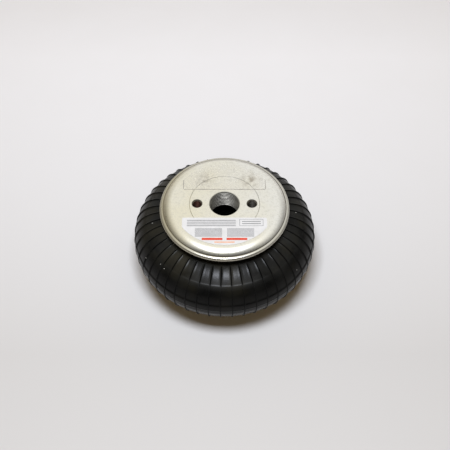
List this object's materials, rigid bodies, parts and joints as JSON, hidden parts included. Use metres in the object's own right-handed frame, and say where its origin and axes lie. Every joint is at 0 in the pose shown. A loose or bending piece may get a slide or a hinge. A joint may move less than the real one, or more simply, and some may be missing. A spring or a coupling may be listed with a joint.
{
  "type": "air bellows actuator",
  "caption": "Ribbed black rubber air bellows crimped between zinc-plated steel bead plates, with a central threaded air port and tapped mounting holes, for lifting or isolating a load.",
  "frame": {"origin": "centre of the lower mounting face", "axes": "+Z along the stroke axis, towards the port plate; +X through the pair of tapped holes"},
  "size_m": [0.1518, 0.1518, 0.0872],
  "materials": {
    "zinc_plated_steel": "zinc plated, satin, warm grey",
    "turned_steel": "turned and zinc plated",
    "weld_metal": "raw weld, grey-brown",
    "clear_film": "clear film on zinc",
    "white_film": "white film",
    "bead_wire": "bronze-coated drawn wire",
    "wrap_fabric": "rubberised fabric",
    "cover_rubber": "moulded, semi-matt black",
    "cord_ply": "rubberised textile cord",
    "liner_rubber": "smooth black"
  },
  "bodies": {
    "base": {"bottom_bead_plate": "zinc_plated_steel", "bottom_blind_nuts": "turned_steel", "bottom_nut_welds": "weld_metal", "bottom_bead_wires": "bead_wire", "bottom_bead_wrap": "wrap_fabric"},
    "bellows": {"outer_cover": "cover_rubber", "outer_cord_ply": "cord_ply", "inner_cord_ply": "cord_ply", "inner_liner": "liner_rubber"},
    "top": {"top_bead_plate": "zinc_plated_steel", "top_port_boss": "turned_steel", "top_boss_weld": "weld_metal", "clear_label": "clear_film", "white_label": "white_film", "top_bead_wires": "bead_wire", "top_bead_wrap": "wrap_fabric"}
  },
  "joints": [
    {"name": "stroke", "type": "slide", "parent": "base", "child": "top", "axis": [0, 0, 1], "range_m": [-0.035, 0.024], "stiffness_N_per_m": 6000, "deforming": ["outer_cover", "outer_cord_ply", "inner_cord_ply", "inner_liner"]},
    {"name": "bellows_follow", "type": "slide", "parent": "base", "child": "bellows", "axis": [0, 0, 1], "range_m": [-0.0175, 0.012]}
  ],
  "couplings": [
    {"joint": "bellows_follow", "follows": "stroke", "ratio": 0.5}
  ]
}
